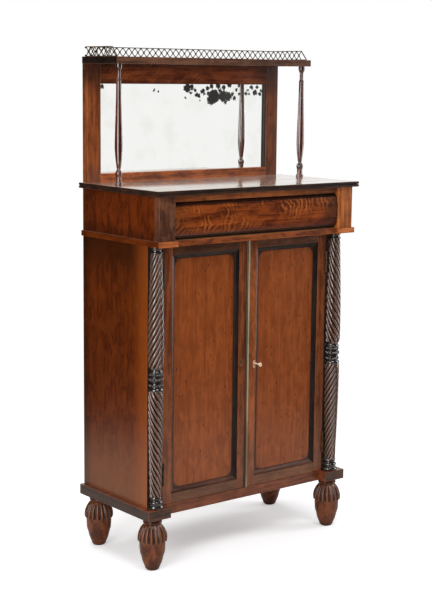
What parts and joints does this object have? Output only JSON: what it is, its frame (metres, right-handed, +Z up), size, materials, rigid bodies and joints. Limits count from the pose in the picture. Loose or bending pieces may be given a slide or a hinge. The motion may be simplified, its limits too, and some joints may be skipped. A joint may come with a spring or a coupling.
{
  "type": "chiffonier",
  "caption": "Mahogany chiffonier: panelled cupboard with twisted corner columns and a frieze drawer, under a mirror back with a galleried shelf on turned columns.",
  "frame": {"origin": "on the floor, at the middle of the plan of the whole piece", "axes": "+Z up; the doors and the drawer face -Y; +X is to the right of a person who faces them"},
  "size_m": [0.718, 0.367, 1.389],
  "materials": {
    "mahogany": "french polished, red-brown",
    "figured_mahogany": "french polished, figured, orange-brown",
    "pale_mahogany": "polished, faded",
    "dark_mahogany": "polished, nearly black in the hollows",
    "pine": "unpolished, aged",
    "brass": "dull, with old lacquer",
    "steel": "dull",
    "mirror": "old silvering, foxed along the top"
  },
  "bodies": {
    "carcass": {"plinth_board": "mahogany", "foot_front_left": "dark_mahogany", "foot_front_right": "dark_mahogany", "foot_back_left": "dark_mahogany", "foot_back_right": "dark_mahogany", "side_left": "mahogany", "side_right": "mahogany", "post_left": "mahogany", "post_right": "mahogany", "column_left": "dark_mahogany", "column_right": "dark_mahogany", "back_boards": "pine", "inner_shelf": "pine", "shelf_bearers": "pine", "frieze_floor": "pine", "moulding_front": "pale_mahogany", "moulding_left": "pale_mahogany", "moulding_right": "pale_mahogany", "frieze_die_left": "mahogany", "frieze_die_right": "mahogany", "frieze_side_left": "mahogany", "frieze_side_right": "mahogany", "frieze_top_rail": "mahogany", "drawer_guides": "pine", "worktop": "mahogany", "mirror_stile_left": "mahogany", "mirror_stile_right": "mahogany", "mirror_top_rail": "mahogany", "mirror_bottom_rail": "mahogany", "mirror_plate": "mirror", "mirror_backboard": "pine", "shelf_column_left": "dark_mahogany", "shelf_column_right": "dark_mahogany", "top_shelf": "mahogany", "gallery": "brass", "post_hinge_leaves": "brass", "hinge_pins": "brass"},
    "left_door": {"left_door_hinge_stile": "mahogany", "left_door_meeting_stile": "mahogany", "left_door_rails": "mahogany", "left_door_panel": "figured_mahogany", "left_keyhole": "brass", "left_door_hinge_leaves": "brass", "bolt_plates": "brass"},
    "right_door": {"right_door_hinge_stile": "mahogany", "right_door_meeting_stile": "mahogany", "right_door_rails": "mahogany", "right_door_panel": "figured_mahogany", "meeting_strip": "brass", "right_keyhole": "brass", "right_door_hinge_leaves": "brass", "lock_case": "steel"},
    "drawer": {"drawer_front": "figured_mahogany", "drawer_sides": "pine", "drawer_back": "pine", "drawer_bottom": "pine"},
    "key": {"key": "steel"},
    "lock_bolt": {"lock_bolt": "brass"},
    "top_bolt": {"top_bolt": "brass"},
    "bottom_bolt": {"bottom_bolt": "brass"}
  },
  "joints": [
    {"name": "left_door_hinge", "type": "hinge", "parent": "carcass", "child": "left_door", "pos_m": [-0.2895, -0.1239, 0.5245], "axis": [0, 0, -1], "range_deg": [0, 110]},
    {"name": "right_door_hinge", "type": "hinge", "parent": "carcass", "child": "right_door", "pos_m": [0.2895, -0.1239, 0.5245], "axis": [0, 0, 1], "range_deg": [0, 110]},
    {"name": "drawer_slide", "type": "slide", "parent": "carcass", "child": "drawer", "axis": [0, -1, 0], "range_m": [0, 0.21]},
    {"name": "key_turn", "type": "hinge", "parent": "right_door", "child": "key", "pos_m": [0.026, -0.143, 0.5255], "axis": [0, -1, 0], "range_deg": [0, 360]},
    {"name": "lock_bolt_slide", "type": "slide", "parent": "right_door", "child": "lock_bolt", "axis": [-1, 0, 0], "range_m": [0, 0.01]},
    {"name": "top_bolt_slide", "type": "slide", "parent": "left_door", "child": "top_bolt", "axis": [0, 0, 1], "range_m": [0, 0.009]},
    {"name": "bottom_bolt_slide", "type": "slide", "parent": "left_door", "child": "bottom_bolt", "axis": [0, 0, -1], "range_m": [0, 0.009]}
  ],
  "couplings": [
    {"joint": "key_turn", "follows": "lock_bolt_slide", "rad_per_m": 628}
  ]
}
